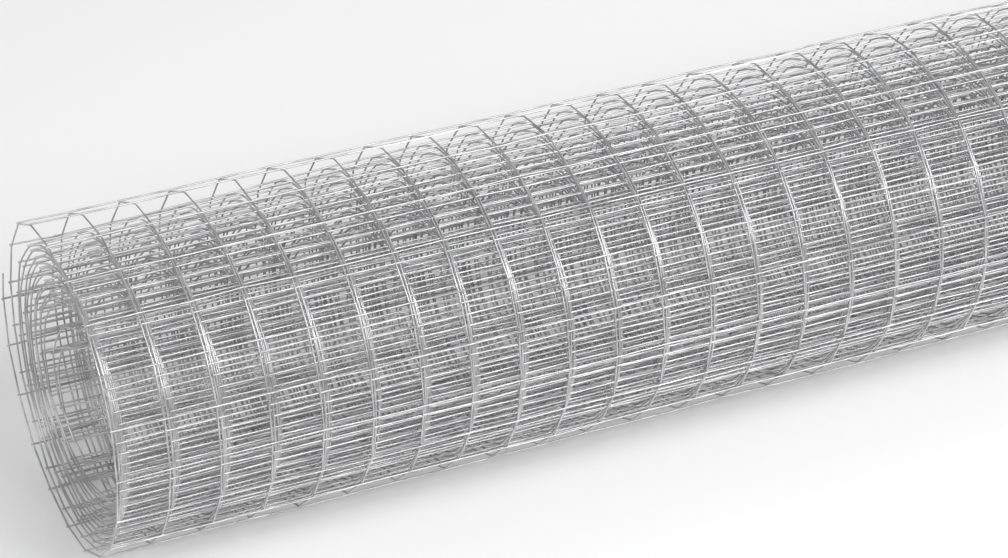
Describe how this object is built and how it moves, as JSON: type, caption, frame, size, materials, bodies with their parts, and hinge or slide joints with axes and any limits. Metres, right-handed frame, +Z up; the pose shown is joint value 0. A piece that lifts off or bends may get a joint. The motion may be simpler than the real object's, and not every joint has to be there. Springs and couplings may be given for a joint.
{
  "type": "roll of wire fencing",
  "caption": "Roll of welded square-mesh galvanised wire fencing lying on its side, wound tight with a loose outer turn and a loose inner coil.",
  "frame": {"origin": "on the floor under the middle of the roll, at the bottom centre of its box", "axes": "+X along the roll's axis, from the near end to the far end; +Y from the front of the roll, as it is pictured, to its back, where the free edge is; +Z up"},
  "size_m": [0.9, 0.1554, 0.1521],
  "materials": {
    "galvanised_wire": "matt galvanised"
  },
  "bodies": {
    "root": {"mesh_roll": "galvanised_wire"}
  },
  "joints": []
}
